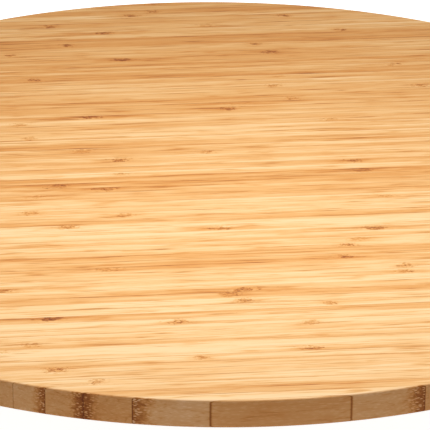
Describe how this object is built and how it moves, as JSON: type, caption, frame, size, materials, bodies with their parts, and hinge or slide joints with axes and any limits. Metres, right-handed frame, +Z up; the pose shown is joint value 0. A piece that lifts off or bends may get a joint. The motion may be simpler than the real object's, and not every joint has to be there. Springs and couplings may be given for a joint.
{
  "type": "lazy susan turntable",
  "caption": "Round flat bamboo serving board that turns on a ball bearing over a smaller round base with rubber feet.",
  "frame": {"origin": "the turning axis at the level of the table, under the feet", "axes": "+Z up along the turning axis; +X along the bamboo strips of the board at rest; the base's screwdriver hole is towards -Y"},
  "size_m": [0.457, 0.457, 0.0382],
  "materials": {
    "bamboo_top": "edge-glued bamboo strips with a thin satin oil finish",
    "bamboo_base": "edge-glued bamboo strips with a thin matt oil finish",
    "zinc_plate": "pressed sheet, zinc plated",
    "steel_balls": "polished and greased",
    "nylon_cage": "natural nylon, satin",
    "rubber_feet": "moulded, matt",
    "steel_washers": "stamped, zinc plated",
    "zinc_screws": "bright zinc plated"
  },
  "bodies": {
    "base": {"base_disc": "bamboo_base", "lower_bearing_plate": "zinc_plate", "lower_plate_screw_1": "zinc_screws", "lower_plate_screw_2": "zinc_screws", "lower_plate_screw_3": "zinc_screws", "lower_plate_screw_4": "zinc_screws", "foot_1": "rubber_feet", "foot_2": "rubber_feet", "foot_3": "rubber_feet", "foot_4": "rubber_feet", "foot_washer_1": "steel_washers", "foot_washer_2": "steel_washers", "foot_washer_3": "steel_washers", "foot_washer_4": "steel_washers", "foot_screw_1": "zinc_screws", "foot_screw_2": "zinc_screws", "foot_screw_3": "zinc_screws", "foot_screw_4": "zinc_screws"},
    "ball_ring": {"ball_cage": "nylon_cage", "ball_01": "steel_balls", "ball_02": "steel_balls", "ball_03": "steel_balls", "ball_04": "steel_balls", "ball_05": "steel_balls", "ball_06": "steel_balls", "ball_07": "steel_balls", "ball_08": "steel_balls", "ball_09": "steel_balls", "ball_10": "steel_balls", "ball_11": "steel_balls", "ball_12": "steel_balls", "ball_13": "steel_balls", "ball_14": "steel_balls", "ball_15": "steel_balls", "ball_16": "steel_balls", "ball_17": "steel_balls", "ball_18": "steel_balls", "ball_19": "steel_balls", "ball_20": "steel_balls", "ball_21": "steel_balls", "ball_22": "steel_balls", "ball_23": "steel_balls", "ball_24": "steel_balls"},
    "turntable": {"turntable_top": "bamboo_top", "upper_bearing_plate": "zinc_plate", "upper_plate_screw_1": "zinc_screws", "upper_plate_screw_2": "zinc_screws", "upper_plate_screw_3": "zinc_screws", "upper_plate_screw_4": "zinc_screws"}
  },
  "joints": [
    {"name": "turntable_spin", "type": "hinge", "parent": "base", "child": "turntable", "pos_m": [0, 0, 0.0221], "axis": [0, 0, 1], "continuous": true},
    {"name": "ball_ring_spin", "type": "hinge", "parent": "base", "child": "ball_ring", "pos_m": [0, 0, 0.0221], "axis": [0, 0, 1], "continuous": true}
  ],
  "couplings": [
    {"joint": "ball_ring_spin", "follows": "turntable_spin", "ratio": 0.5}
  ]
}
